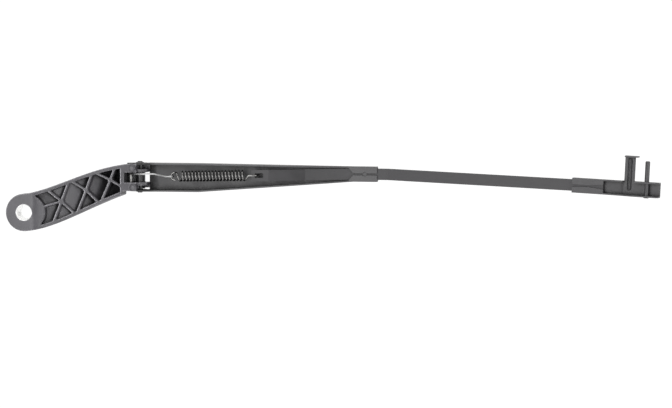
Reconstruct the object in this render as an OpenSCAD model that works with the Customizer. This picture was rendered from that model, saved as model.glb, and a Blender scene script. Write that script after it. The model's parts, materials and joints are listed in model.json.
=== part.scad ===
// Windscreen wiper arm, drawn with its underside up: a cranked die-cast head,
// a folded sheet channel with a tension spring, a flat steel bar and a crimped
// holder that carries the wiper blade on a side pin.
// The origin is the middle of the spindle hole on the seat face.
// X runs along the arm to the tip, Y to the side of the blade pin, Z out of the seat.

/* [Boss] */
// Diameter of the boss round the spindle hole
boss_d = 32.2; // [29:0.2:34]
// Thickness of the boss along the spindle
boss_t = 11; // [9:0.5:13]
// Diameter of the spindle hole at its narrow outer end
bore_d = 10.2; // [8:0.1:12]
// Diameter of the spindle hole at the seat face
mouth_d = 13.6; // [12.6:0.1:15]
// Straight length of the spindle hole at its outer end
land_len = 3; // [2:0.5:5]
// Straight length of the spindle hole at the seat face
mouth_len = 2.5; // [2:0.5:3]

/* [Cranked neck] */
// Height of the seat face above the pivot
pivot_drop = 76; // [70:1:82]
// Distance from the spindle hole to the pivot, along the arm
pivot_x = 83.2; // [79:0.5:88]
// Sideways distance from the spindle hole to the middle of the channel
hinge_y = 28.2; // [26:0.2:30]
// Thickness of the cast skin on the outer side
skin_t = 3.2; // [2.6:0.1:4]
// Thickness of the cast rim along each edge
rim_t = 3.2; // [2.4:0.1:3.8]
// Thickness of the lattice ribs
rib_t = 1.8; // [1.4:0.1:2.4]

/* [Hinge] */
// Diameter of the pivot pin
pin_d = 5; // [4.4:0.1:5.4]
// Diameter of the pin's riveted heads
rivet_d = 7.6; // [7:0.1:9]
// Running clearance between the pin and its holes, on the radius
pin_play = 0.05; // [0.03:0.01:0.08]
// Radius of the rounded ears at the end of the channel
ear_r = 11.3; // [10.6:0.1:11.8]
// Gap between parts that move past each other
swing_gap = 0.4; // [0.3:0.05:0.5]
// Thickness of each hinge lug on the head
lug_t = 3; // [2.4:0.1:3.4]
// Width of the slot between the lugs
slot_w = 8.7; // [8:0.1:9.4]

/* [Channel] */
// Outside width of the channel at the hinge
channel_w = 24.8; // [22.5:0.1:25.5]
// Thickness of the channel's sheet
sheet_t = 1.4; // [1.2:0.05:1.6]
// Distance from the pivot to the outer end of the channel
channel_len = 211.6; // [200:1:225]
// Distance from the pivot down to the channel's outer face
pivot_cover = 6.4; // [6:0.1:7]
// Height of the side walls at the hinge
wall_h = 22.8; // [21:0.2:24]
// Height of the side walls where the channel starts to narrow
waist_h = 16.4; // [15:0.2:18]
// Length of the closed sleeve that grips the bar
sleeve_len = 21; // [18:0.5:26]
// Gap between the two folded flanges of the sleeve
seam_w = 1.9; // [1:0.1:3]

/* [Bar] */
// Width of the flat bar
bar_w = 9.8; // [8:0.1:10]
// Thickness of the flat bar
bar_t = 4; // [3.5:0.1:4.5]
// Distance from the channel's end to the blade holder
bar_reach = 171.6; // [150:1:190]
// Angle at which the bar rises towards the glass
bar_rise = 8.8; // [7:0.1:10]
// Angle at which the bar turns sideways
bar_turn = 2.1; // [1:0.1:3]
// Length of the spring hole in the bar's inner end
eye_len = 7.4; // [7:0.1:8.4]
// Width of the spring hole
eye_w = 4.2; // [3.6:0.1:5]

/* [Spring and link] */
// Outside diameter of the spring
coil_d = 10.2; // [9.4:0.1:10.8]
// Diameter of the spring wire
wire_d = 1.7; // [1.4:0.05:1.9]
// Number of coils
coils = 19; // [15:1:22]
// Distance from the anchor pin to the spring's inner hook
link_len = 36; // [33:0.5:38]
// Thickness of the link plate
link_t = 1.3; // [1:0.1:1.8]
// Width of the link's curved strap
link_w = 3.8; // [3.2:0.1:4.2]
// Diameter of the anchor pin in the head
anchor_d = 3.2; // [2.8:0.1:3.6]

/* [Blade holder] */
// Length of the holder's crimped sleeve
crimp_len = 27.6; // [24:0.2:31]
// Overall length of the holder
holder_len = 74.6; // [73:0.2:80]
// Thickness of the holder's sheet
holder_t = 1.2; // [1:0.05:1.4]
// Outside width of the holder's open end
holder_w = 12.8; // [12.4:0.1:14]
// Height of the holder's side walls
cheek_h = 10.2; // [9.4:0.1:12]
// Sideways reach of the locking tab
tab_reach = 27.6; // [24:0.2:31]
// Width of the locking tab
tab_w = 8.9; // [8:0.1:10]
// Height of the lip at the tab's end
lip_h = 8; // [6:0.2:9]
// Diameter of the blade pin
blade_pin_d = 4; // [3.7:0.05:4.4]
// Diameter of the blade pin's riveted tail
pin_tail_d = 3.4; // [3:0.1:3.6]
// Sideways reach of the blade pin
blade_pin_reach = 23.9; // [21:0.1:27]

/* [Hidden] */
$fn = 64;
steps = 20;
far = 400;
eps = 0.01;

pivot_z = -pivot_drop;
web_z = pivot_z - pivot_cover;
web_in = web_z + sheet_t;
near_y = hinge_y + channel_w / 2;
far_y = hinge_y - channel_w / 2;
web_start = pivot_x + 7.4;
block_end = pivot_x + 0.8;
skin_end = pivot_x + 3.4;
end_wall = [pivot_x - 12.3, pivot_x - 9.4];
slot_y = [hinge_y - slot_w / 2, hinge_y + slot_w / 2];
lug_end = pivot_x + 8.3;
ear_room = ear_r + 2 * swing_gap;
lug_foot = [near_y - sheet_t - swing_gap, far_y + sheet_t + 1.5];

// Edges of the neck in plan, and its rim and outer face from the side, as curves
near_edge = [[0, boss_d / 2], [26, boss_d / 2 + 2.9], [pivot_x - 35, near_y], [pivot_x + 3, near_y]];
far_edge = [[1, -boss_d / 2], [28, -boss_d / 2 + 1.5], [pivot_x - 33, far_y - 8.3], [block_end, far_y + 1.2]];
rim_line = [[7, 0], [21, -2], [pivot_x - 37, pivot_z + 27], [block_end, pivot_z + 17]];
outer_line = [[4, -boss_t], [32, -boss_t - 3], [pivot_x - 21, web_z], [pivot_x + 6.8, web_z]];

// Where the lattice ribs meet the edges and cross, along those curves
near_joins = [0.23, 0.44, 0.635, 0.82];
far_joins = [0.27, 0.48, 0.69];
crossings = [[0.36, 0.52], [0.575, 0.55], [0.78, 0.6]];
boss_shelf = boss_d / 2 + 0.9;

// Channel stations along X
channel_end = pivot_x + channel_len;
sleeve_start = channel_end - sleeve_len;
waist_start = pivot_x + 0.26 * channel_len;
fold_start = sleeve_start - 5;
sleeve_y = hinge_y + 4.4;
bar_play = 0.1;
sleeve_w = bar_w + 2 * bar_play + 2 * sheet_t + 0.4;
sleeve_top = web_in + bar_t + sheet_t + eps;
wall_front = block_end + swing_gap;

// Line of pull, from the anchor pin in the head to the bar's inner end
pull_y = [hinge_y + 0.3, hinge_y + 2.5];
anchor = [pivot_x - 6.3, pivot_z + 8.1];
bar_eye = [pivot_x + 0.4887 * channel_len, pivot_z + 5.5];
pull_len = norm([bar_eye[0] - anchor[0], bar_eye[1] - anchor[1], pull_y[1] - pull_y[0]]);
pull_slope = atan2(bar_eye[1] - anchor[1], bar_eye[0] - anchor[0]);
pull_turn = atan2(pull_y[1] - pull_y[0], bar_eye[0] - anchor[0]);

// Bar stations
bar_z = web_in + bar_t / 2;
bridge = 3.3;
bar_in = bar_eye[0] - bridge / 2;
bend_x = channel_end + 9;
holder_x = channel_end + bar_reach;
holder_turn = bar_turn + 0.4;
holder_z = bar_z + (holder_x - bend_x) * tan(bar_rise);
holder_y = sleeve_y - (holder_x - bend_x) * tan(bar_turn);
bar_depth = crimp_len - 1;

// Blade holder, in its own frame along the bar
joggle = 0.8;
joggle_at = crimp_len + 15;
crimp_w = bar_w + 2 * bar_play + 2 * holder_t + 0.2;
crimp_floor = -bar_t / 2 - bar_play - holder_t;
holder_floor = crimp_floor - joggle;
tab_at = crimp_len + 20.3;
blade_pin_at = holder_len - 10.9;
blade_pin_up = holder_floor + 5.5;

function along(p, t) = let (s = 1 - t)
    s * s * s * p[0] + 3 * s * s * t * p[1] + 3 * s * t * t * p[2] + t * t * t * p[3];
function curve(p) = [for (i = [0:steps]) along(p, i / steps)];
function flip(v) = [for (i = [len(v) - 1:-1:0]) v[i]];
function shift(v, d) = [for (q = v) q + d];
function mix(a, b, f) = a * (1 - f) + b * f;
function unit(v) = v / norm(v);
function left(v) = [-v[1], v[0]];

// Offset of a bent centre line by h, with mitred corners
function ahead(p, i) = unit(p[min(i + 1, len(p) - 1)] - p[min(i, len(p) - 2)]);
function behind(p, i) = unit(p[max(i, 1)] - p[max(i - 1, 0)]);
function mitre(p, i) = let (m = unit(left(ahead(p, i)) + left(behind(p, i))))
    m / (m * left(ahead(p, i)));
function beside(p, h) = [for (i = [0:len(p) - 1]) p[i] + h * mitre(p, i)];
function band(p, w) = concat(beside(p, w / 2), flip(beside(p, -w / 2)));

// A profile in X and Z, extruded from y0 to y1
module across(y0, y1) {
    translate([0, y1, 0]) rotate([90, 0, 0]) linear_extrude(y1 - y0) children();
}

module pivot_rod(r, y0, y1) {
    translate([pivot_x, y1, pivot_z]) rotate([90, 0, 0]) cylinder(r = r, h = y1 - y0);
}

module block(x0, x1, y0, y1, z0, z1) {
    translate([x0, y0, z0]) cube([x1 - x0, y1 - y0, z1 - z0]);
}

module strip(a, b, w) {
    d = b - a;
    translate(a) rotate(atan2(d[1], d[0])) translate([0, -w / 2]) square([norm(d), w]);
}

// Head casting

module neck_plan(edge) {
    beyond = skin_end + 3;
    polygon(concat(shift(curve(near_edge), [0, -edge]), [[beyond, near_y - edge], [beyond, far_y - 0.6 + edge]],
                   flip(shift(curve(far_edge), [0, edge]))));
}

module lattice_plan() {
    near = [for (t = near_joins) along(near_edge, t)];
    lower = concat([for (t = far_joins) along(far_edge, t)], [[end_wall[1], far_y + 3]]);
    cross = [for (c = crossings) mix(along(far_edge, c[0]), along(near_edge, c[0]), c[1])];
    for (i = [0:len(cross) - 1]) {
        strip(near[i], cross[i], rib_t);
        strip(cross[i], near[i + 1], rib_t);
        strip(lower[i], cross[i], rib_t);
        strip(cross[i], lower[i + 1], rib_t);
    }
    strip([0, 0], cross[0], rib_t);
    for (c = cross) translate(c) circle(d = rib_t + 1.6);
}

module above_floor(lift) {
    across(-far, far)
        polygon(concat(shift(curve(outer_line), [lift * 0.72, lift * 0.69]),
                       [[far, web_z + lift], [far, far], [-far, far], [-far, lift - boss_t]]));
}

module neck_body() {
    intersection() {
        translate([0, 0, -far]) linear_extrude(2 * far) {
            neck_plan(0);
            circle(d = boss_d);
        }
        across(-far, far)
            polygon(concat([[-far, 0]], curve(rim_line),
                           [[block_end, pivot_z + 4.4], [pivot_x - 3, pivot_z + 4.4],
                            [pivot_x - 3, web_in + 1.4], [skin_end, web_in + 1.4], [skin_end, web_z]],
                           flip([for (q = curve(outer_line)) if (q[0] < skin_end) q]),
                           [[-far, -boss_t]]));
    }
}

module neck_pockets() {
    intersection() {
        translate([0, 0, -far]) linear_extrude(2 * far) difference() {
            intersection() {
                neck_plan(rim_t);
                translate([0, -far]) square([end_wall[0], 2 * far]);
            }
            circle(r = boss_shelf);
            lattice_plan();
        }
        above_floor(skin_t);
    }
}

module hinge_pocket() {
    intersection() {
        union() {
            block(end_wall[1], far, slot_y[0], slot_y[1], -far, far);
            block(pivot_x - 3, far, slot_y[1] + lug_t, near_y - sheet_t - swing_gap, -far, pivot_z + 8);
            block(pivot_x - 3, far, far_y + sheet_t + swing_gap, slot_y[0] - lug_t, -far, pivot_z + 8);
        }
        above_floor(skin_t);
    }
}

// A plate of the hinge, cut level at the given height
module hinge_lug(y0, y1, top) {
    across(y0, y1) intersection() {
        polygon([[pivot_x - 7, pivot_z + 12], [block_end, pivot_z + 15], [lug_end, pivot_z + 7.5],
                 [lug_end, web_in + 0.3], [skin_end, web_in + 0.3], [pivot_x - 7, web_in]]);
        translate([0, top - far]) square(far);
    }
}

// Round-topped nub on each side of the hinge slot
module stop_nub(x, y) {
    nub_r = 3.5;
    round_r = 1.6;
    nub_top = pivot_z + 17.8;
    translate([x, y, nub_top - 9]) rotate_extrude()
        polygon(concat([[0, 0], [nub_r, 0]],
                       [for (a = [0:15:90]) [nub_r - round_r + round_r * cos(a), 9 - round_r + round_r * sin(a)]],
                       [[0, 9]]));
}

module spindle_hole() {
    rotate_extrude()
        polygon([[0, 1], [mouth_d / 2, 1], [mouth_d / 2, -mouth_len],
                 [bore_d / 2, land_len - boss_t], [bore_d / 2, -boss_t - 1], [0, -boss_t - 1]]);
}

// Side faces that step in where the ears turn
module ear_pads() {
    block(pivot_x - ear_r, far, near_y - 0.4, far, -far, far);
    block(pivot_x - ear_r, far, -far, far_y + 0.6, -far, far);
}

module ear_recess() {
    for (y = [near_y - sheet_t - swing_gap, far_y - far])
        pivot_rod(ear_room, y, y + far + sheet_t + swing_gap);
}

module head_casting() {
    color([0.16, 0.16, 0.17]) difference() {
        union() {
            difference() {
                union() {
                    neck_body();
                    stop_nub(pivot_x - 3, near_y - 4.2);
                    stop_nub(pivot_x - 1.8, far_y + 3.7);
                }
                neck_pockets();
                hinge_pocket();
                ear_pads();
                ear_recess();
            }
            hinge_lug(slot_y[0] - lug_t, slot_y[0], pivot_z + 12);
            hinge_lug(slot_y[1], slot_y[1] + lug_t, pivot_z + 12);
            hinge_lug(lug_foot[1], slot_y[0], pivot_z - 1.6);
            hinge_lug(slot_y[1], lug_foot[0], pivot_z - 1.6);
        }
        spindle_hole();
        pivot_rod(pin_d / 2 + pin_play, far_y, near_y);
        translate([anchor[0], hinge_y + 7.4, anchor[1]]) rotate([90, 0, 0])
            cylinder(d = anchor_d, h = 14.8);
    }
}

// Pins of the hinge

module pivot_pin() {
    head_h = 0.6;
    color([0.55, 0.55, 0.56]) {
        pivot_rod(pin_d / 2, far_y - head_h, near_y + head_h);
        for (side = [0, 1]) translate([pivot_x, side ? near_y : far_y, pivot_z])
            rotate([side ? -90 : 90, 0, 0]) {
                cylinder(d1 = rivet_d, d2 = rivet_d - 0.8, h = head_h);
                translate([0, 0, head_h]) cylinder(d1 = pin_d, d2 = pin_d - 1.2, h = 0.9);
            }
    }
}

module anchor_pin() {
    color([0.55, 0.55, 0.56]) translate([anchor[0], hinge_y + 7.4, anchor[1]])
        rotate([90, 0, 0]) cylinder(d = anchor_d, h = 14.8);
}

// Link and spring, drawn along the line of pull from the anchor pin

module on_pull() {
    translate([anchor[0], pull_y[0], anchor[1]]) rotate([0, 0, pull_turn]) rotate([0, -pull_slope, 0]) children();
}

hook_r = 3.4;
link_hole = wire_d + 1.3;
link_side = 2.6;

// Plate with a sideways joggle that brings the spring back onto the line of pull
module tension_link() {
    arch = [[0, 0], [2, 8.5], [link_len - 10, 9.6], [link_len, 0]];
    joggle_path = [[-6, link_side], [link_len * 0.62, link_side], [link_len - 3, 0], [link_len + 6, 0]];
    color([0.6, 0.6, 0.62]) on_pull() intersection() {
        rotate([90, 0, 0]) translate([0, 0, -8]) difference() {
            union() {
                linear_extrude(16) polygon(band(curve(arch), link_w));
                cylinder(r = anchor_d / 2 + 1.1, h = 16);
                translate([link_len, 0, 0]) cylinder(d = link_hole + 2.8, h = 16);
            }
            translate([0, 0, -1]) cylinder(d = anchor_d + 2 * pin_play, h = 18);
            translate([link_len, 0, -1]) cylinder(d = link_hole, h = 18);
        }
        translate([0, 0, -20]) linear_extrude(40) polygon(band(joggle_path, link_t));
    }
}

coil_r = (coil_d - wire_d) / 2;
coil_from = link_len + 9;
coil_to = pull_len - 8.4;
loop_r = 3.6;
ring_steps = 14;
wire_sides = 7;

function turn_pos(x, r, a) = [x, r * cos(a), r * sin(a)];
inner_hook = [for (i = [0:9]) let (a = 290 - 215 * i / 9)
    [link_len + hook_r + hook_r * cos(a), hook_r * sin(a), 0]];
lead_in = [for (i = [1:6]) let (f = i / 7)
    turn_pos(mix(link_len + 4.4, coil_from, f), mix(hook_r, coil_r, f), 180 * f - 360)];
helix = [for (i = [0:coils * ring_steps]) let (f = i / (coils * ring_steps))
    turn_pos(mix(coil_from, coil_to, f), coil_r, 180 + 360 * coils * f)];
lead_out = [for (i = [1:5]) let (f = i / 5)
    turn_pos(mix(coil_to, pull_len - 4.2, f), mix(coil_r, loop_r, f), 180 - 90 * f)];
outer_hook = [for (i = [0:9]) let (a = 90 - 175 * i / 9)
    [pull_len + loop_r * cos(a), 0, loop_r * sin(a)]];
wire_path = concat(inner_hook, lead_in, helix, lead_out, outer_hook);

function cross3(a, b) = [a[1] * b[2] - a[2] * b[1], a[2] * b[0] - a[0] * b[2], a[0] * b[1] - a[1] * b[0]];
function course(p, i) = unit(p[min(i + 1, len(p) - 1)] - p[max(i - 1, 0)]);

// Cross directions carried along the wire, so that the tube doesn't twist
function carried(p, i, n) = let (d = course(p, i), m = n - d * (n * d)) unit(m);
function frames(p, i, n) = i == len(p) ? [] :
    let (m = carried(p, i, n)) concat([m], frames(p, i + 1, m));

module wire(p, d) {
    up = frames(p, 0, [0, 0, 1]);
    rings = [for (i = [0:len(p) - 1]) for (k = [0:wire_sides - 1])
        let (a = 360 * k / wire_sides) p[i] + d / 2 * (cos(a) * up[i] + sin(a) * cross3(course(p, i), up[i]))];
    last = (len(p) - 1) * wire_sides;
    sides = [for (i = [0:len(p) - 2]) for (k = [0:wire_sides - 1])
        let (a = i * wire_sides + k, b = i * wire_sides + (k + 1) % wire_sides)
        [b, a, a + wire_sides, b + wire_sides]];
    polyhedron(rings, concat([[for (k = [0:wire_sides - 1]) k]], sides,
                             [[for (k = [wire_sides - 1:-1:0]) last + k]]));
}

module tension_spring() {
    color([0.1, 0.1, 0.1]) on_pull() wire(wire_path, wire_d);
}

// Channel

module channel_plan(inset) {
    polygon([[-far, near_y - inset], [waist_start, near_y - inset],
             [sleeve_start, sleeve_y + sleeve_w / 2 - inset], [far, sleeve_y + sleeve_w / 2 - inset],
             [far, sleeve_y - sleeve_w / 2 + inset], [sleeve_start, sleeve_y - sleeve_w / 2 + inset],
             [waist_start, far_y + inset], [-far, far_y + inset]]);
}

module channel_side() {
    polygon([[wall_front, web_z + wall_h], [wall_front + 9, web_z + wall_h - 3.2],
             [wall_front + 26, web_z + waist_h + 1], [waist_start, web_z + waist_h],
             [pivot_x + 0.63 * channel_len, web_z + 0.8 * waist_h],
             [pivot_x + 0.79 * channel_len, web_z + 0.6 * waist_h],
             [fold_start, sleeve_top], [channel_end, sleeve_top], [channel_end, web_z], [wall_front, web_z]]);
}

module ear(y0) {
    intersection() {
        pivot_rod(ear_r, y0, y0 + sheet_t);
        above_floor(0);
    }
}

module sleeve_flange(side) {
    edge = sleeve_y + side * sleeve_w / 2;
    lip = sleeve_y + side * seam_w / 2;
    translate([0, 0, sleeve_top - sheet_t]) linear_extrude(sheet_t)
        polygon([[fold_start, edge], [sleeve_start, lip], [channel_end, lip], [channel_end, edge]]);
}

// Notches where the web ends and the walls run on to the ears
module corner_relief() {
    across(-far, far)
        polygon([[web_start - 3.2, web_z - 1], [web_start - 1.8, web_z + 2.4], [web_start - 0.8, web_z + 2.4],
                 [web_start + 0.6, web_z - 1]]);
}

module arm_channel() {
    color([0.2, 0.2, 0.21]) difference() {
        union() {
            difference() {
                intersection() {
                    translate([0, 0, web_z]) linear_extrude(wall_h) channel_plan(0);
                    across(-far, far) channel_side();
                }
                translate([0, 0, web_in]) linear_extrude(wall_h) channel_plan(sheet_t);
                block(0, web_start, far_y + sheet_t, near_y - sheet_t, web_z - 1, far);
            }
            ear(near_y - sheet_t);
            ear(far_y);
            sleeve_flange(1);
            sleeve_flange(-1);
        }
        pivot_rod(pin_d / 2, far_y - 1, near_y + 1);
        corner_relief();
        translate([rivet_x, sleeve_y, web_z - 1]) cylinder(d = bar_rivet_d, h = far);
    }
}

// Bar and the rivet that fixes it

rivet_x = sleeve_start + 10;
bar_rivet_d = 3.6;

bar_side_path = [[bar_in, bar_eye[1]], [bar_in + 15, bar_eye[1]], [bar_in + 46, bar_z],
                 [bend_x, bar_z], [holder_x + bar_depth * cos(bar_rise), bar_z + tan(bar_rise)
                 * (holder_x + bar_depth * cos(bar_rise) - bend_x)]];
bar_plan_path = [[bar_in, pull_y[1]], [bar_in + 30, pull_y[1] + 0.4], [sleeve_start, sleeve_y], [bend_x, sleeve_y],
                 [holder_x, holder_y],
                 [holder_x + bar_depth * cos(bar_rise), holder_y - bar_depth * cos(bar_rise) * tan(holder_turn)]];

module arm_bar() {
    color([0.24, 0.24, 0.25]) difference() {
        intersection() {
            across(-far, far) polygon(band(bar_side_path, bar_t));
            translate([0, 0, -far]) linear_extrude(2 * far) polygon(band(bar_plan_path, bar_w));
        }
        block(bar_in + bridge, bar_in + bridge + eye_len, pull_y[1] - eye_w / 2, pull_y[1] + eye_w / 2, -far, far);
        translate([rivet_x, sleeve_y, web_z - 1]) cylinder(d = bar_rivet_d, h = bar_t + sheet_t + 2);
    }
}

module bar_rivet() {
    color([0.22, 0.22, 0.23]) translate([rivet_x, sleeve_y, web_z]) {
        translate([0, 0, -0.4]) cylinder(d1 = bar_rivet_d - 0.6, d2 = bar_rivet_d, h = 0.4);
        cylinder(d = bar_rivet_d, h = sheet_t + bar_t + 0.3);
    }
}

// Blade holder

module on_holder() {
    translate([holder_x, holder_y, holder_z]) rotate([0, 0, -holder_turn]) rotate([0, -bar_rise, 0]) children();
}

module holder_plan(inset) {
    polygon([[0, crimp_w / 2 - inset], [crimp_len, crimp_w / 2 - inset],
             [holder_len - 16, holder_w / 2 - inset], [holder_len + inset, holder_w / 2 - inset],
             [holder_len + inset, inset - holder_w / 2], [holder_len - 16, inset - holder_w / 2],
             [crimp_len, inset - crimp_w / 2], [0, inset - crimp_w / 2]]);
}

module holder_side() {
    crimp_top = crimp_floor + bar_t + 2 * bar_play + 2 * holder_t;
    cheek_top = holder_floor + cheek_h;
    corner = 3;
    polygon(concat([[0, crimp_floor], [0, crimp_top], [crimp_len + 1, crimp_top],
                    [joggle_at + 2, cheek_top - 1.4], [tab_at + tab_w / 2, cheek_top]],
                   [for (a = [90:-15:0]) [holder_len - corner + corner * cos(a),
                                          cheek_top - corner + corner * sin(a)]],
                   [[holder_len, holder_floor], [joggle_at, holder_floor], [joggle_at - 2, crimp_floor]]));
}

module holder_hollow() {
    across(-far, far)
        polygon([[-1, crimp_floor + holder_t], [-1, bar_t / 2 + bar_play], [crimp_len - 0.6, bar_t / 2 + bar_play],
                 [crimp_len - 0.6, far], [holder_len + far, far], [holder_len + far, holder_floor + holder_t],
                 [joggle_at + 0.4, holder_floor + holder_t], [joggle_at - 1.6, crimp_floor + holder_t]]);
}

module crimp_seam() {
    translate([0, 0, bar_t / 2]) linear_extrude(far)
        polygon([[-1, 1.2], [crimp_len * 0.45, 0.5], [crimp_len + 1, 2], [crimp_len + 1, -2.4],
                 [crimp_len * 0.5, -0.7], [-1, -1.6]]);
}

module tab_bead(r) {
    bead_from = 0;
    bead_to = tab_reach - 3.6;
    translate([tab_at, 0, holder_floor + holder_t + 0.5]) {
        translate([0, bead_to, 0]) rotate([90, 0, 0]) cylinder(r = r, h = bead_to - bead_from);
        for (v = [bead_from, bead_to]) translate([0, v, 0]) sphere(r = r);
    }
}

module locking_tab() {
    translate([tab_at - tab_w / 2, 0, holder_floor]) cube([tab_w, tab_reach, holder_t]);
    translate([tab_at - tab_w / 2 + 0.8, tab_reach - holder_t, holder_floor]) cube([tab_w + 2.2, holder_t, lip_h]);
}

module blade_holder() {
    color([0.18, 0.18, 0.19]) on_holder() difference() {
        union() {
            difference() {
                intersection() {
                    translate([0, 0, -far]) linear_extrude(2 * far) holder_plan(0);
                    across(-far, far) holder_side();
                }
                intersection() {
                    translate([0, 0, -far]) linear_extrude(2 * far) holder_plan(holder_t);
                    holder_hollow();
                }
                translate([-1, crimp_w / -2 + holder_t + 0.1, -bar_t / 2 - bar_play])
                    cube([crimp_len + 1, bar_w + 2 * bar_play, bar_t + 2 * bar_play]);
                crimp_seam();
                block(tab_at - tab_w / 2, tab_at + tab_w / 2, holder_w / 2 - holder_t - 1, far,
                      holder_floor + holder_t, far);
            }
            locking_tab();
            intersection() {
                tab_bead(3);
                translate([0, -far, holder_floor - far]) cube([far, 2 * far, far + holder_t]);
            }
        }
        tab_bead(2);
        translate([blade_pin_at, far, blade_pin_up]) rotate([90, 0, 0]) cylinder(d = pin_tail_d, h = 2 * far);
    }
}

module blade_pin() {
    head_h = 0.8;
    color([0.2, 0.2, 0.2]) on_holder() translate([blade_pin_at, 0, blade_pin_up]) rotate([-90, 0, 0]) {
        translate([0, 0, -holder_w / 2]) cylinder(d = pin_tail_d, h = holder_w);
        translate([0, 0, holder_w / 2]) cylinder(d = blade_pin_d, h = blade_pin_reach - holder_w / 2 - 0.6);
        translate([0, 0, blade_pin_reach - 0.6]) cylinder(d1 = blade_pin_d, d2 = blade_pin_d - 1.2, h = 0.6);
        translate([0, 0, -holder_w / 2 - head_h]) cylinder(d1 = pin_tail_d + 0.6, d2 = pin_tail_d + 1.8, h = head_h);
    }
}

head_casting();
pivot_pin();
anchor_pin();
tension_link();
tension_spring();
arm_channel();
arm_bar();
bar_rivet();
blade_holder();
blade_pin();
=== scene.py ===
import json
import math

import bmesh
import bpy
from bpy.props import FloatProperty, FloatVectorProperty, IntProperty, PointerProperty
from mathutils import Matrix, Vector


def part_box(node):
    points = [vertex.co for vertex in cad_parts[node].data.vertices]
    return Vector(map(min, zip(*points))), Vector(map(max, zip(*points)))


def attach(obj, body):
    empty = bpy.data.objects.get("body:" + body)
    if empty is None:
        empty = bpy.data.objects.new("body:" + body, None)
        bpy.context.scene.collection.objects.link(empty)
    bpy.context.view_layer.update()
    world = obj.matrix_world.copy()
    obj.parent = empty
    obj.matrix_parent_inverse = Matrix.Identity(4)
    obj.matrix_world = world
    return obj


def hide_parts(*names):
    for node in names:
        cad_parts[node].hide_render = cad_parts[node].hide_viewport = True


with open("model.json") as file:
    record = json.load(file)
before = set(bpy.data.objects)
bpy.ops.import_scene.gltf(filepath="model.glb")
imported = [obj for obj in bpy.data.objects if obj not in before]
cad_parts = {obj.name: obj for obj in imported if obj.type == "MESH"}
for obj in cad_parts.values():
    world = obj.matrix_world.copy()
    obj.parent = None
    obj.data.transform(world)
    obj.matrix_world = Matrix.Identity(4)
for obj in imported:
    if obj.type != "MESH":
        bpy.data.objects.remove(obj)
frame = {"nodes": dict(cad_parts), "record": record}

bl_info = {
    "name": "Wiper arm dressing",
    "version": (1, 0, 0),
    "blender": (4, 5, 0),
    "location": "3D View > Sidebar > Wiper arm",
    "description": "Finishes, smooth spring wire and a photo stage for a folding windscreen wiper arm",
    "category": "Object",
}

MM = 0.001
NODES = frame["nodes"]
MOUNTS = {mount["name"]: mount for mount in frame["record"]["mounts"]}
MOUTH_RADIUS = MOUNTS["spindle_bore"]["dims"]["r_mm"] * MM
LAND = MOUNTS["spindle_land"]
BOSS_FOOT = LAND["pos_m"][2] - LAND["dims"]["length_mm"] * MM / 2

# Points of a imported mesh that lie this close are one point, repeated along a seam
SEAM = 0.004 * MM

# The spring's wire, measured back from its outermost point: where the tail starts, where the coils' wire
# turns thinner, how far back the hook's tip reaches, and where the coils' wire ends inside the tail
TAIL_START = 8.8 * MM
THIN_START = 8.5 * MM
TIP_START = 8.0 * MM
COILS_END = 3.3 * MM
SLIDE_GAP = 0.06 * MM
END_RING = 0.25 * MM

# Foot of the nubs above the pivot line, inside the casting
NUB_FOOT = 12.5 * MM

# Stretch of the neck beside the boss that is smoothed, in full between the inner pair, and how far a face
# has to look up to be smoothed
SHOULDER = (3.0 * MM, 6.0 * MM, 14.0 * MM, 18.0 * MM)
SHOULDER_LEAN = 0.25

# Darker web along the channel, from the pivot: full up to the first, gone at the second, less its ragged
# edge
HINGE_DARKENING = (15.0 * MM, 20.0 * MM)
HINGE_DARKENING_RAGGED = 9.0 * MM

# Colours laid over the finishes: painted shade in the recesses of a coat and in those of plain steel, and
# the near black of the darker patch beside the hinge
RECESS_SHADE = (0.004, 0.004, 0.004)
STEEL_RECESS_SHADE = (0.03, 0.028, 0.026)
HINGE_DARK_COLOUR = (0.006, 0.006, 0.006)

# Camera fitted to the photograph
CAMERA_PLACE = Vector((0.65692, 0.13841, 2.12655))
CAMERA_RIGHT = Vector((0.984016, 0.00281, -0.178055))
CAMERA_AHEAD = Vector((-0.177585, -0.05886, -0.982344))
ARM_MIDDLE = (0.27, 0.0, -0.05)
FLOOR_HALF = 6.0


# Sizes and colours that a user would change


class WiperPaintSettings(bpy.types.PropertyGroup):
    """Colours of the arm's finishes"""

    casting: FloatVectorProperty(
        name="Casting paint",
        description="Colour of the powder coat on the cranked casting",
        subtype="COLOR",
        default=(0.052, 0.05, 0.056),
        min=0.0,
        max=1.0,
    )
    sheet: FloatVectorProperty(
        name="Sheet paint",
        description="Colour of the paint on the channel, the bar, the blade holder and the pins in them",
        subtype="COLOR",
        default=(0.03, 0.029, 0.031),
        min=0.0,
        max=1.0,
    )
    plating: FloatVectorProperty(
        name="Plated steel",
        description="Colour of the link plate",
        subtype="COLOR",
        default=(0.17, 0.17, 0.17),
        min=0.0,
        max=1.0,
    )
    spring: FloatVectorProperty(
        name="Spring coat",
        description="Colour of the dark oiled steel of the spring wire and the pressed anchor pin",
        subtype="COLOR",
        default=(0.15, 0.148, 0.145),
        min=0.0,
        max=1.0,
    )
    taper: FloatVectorProperty(
        name="Spindle taper",
        description="Colour of the bare machined metal inside the spindle hole",
        subtype="COLOR",
        default=(0.93, 0.93, 0.92),
        min=0.0,
        max=1.0,
    )
    # Sets both the worn paint and the painted highlight on exposed edges
    rub_and_highlight: FloatProperty(
        name="Edge rub",
        description="How far the paint is worn paler on exposed edges",
        subtype="FACTOR",
        default=0.6,
        min=0.0,
        max=1.0,
    )


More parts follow.
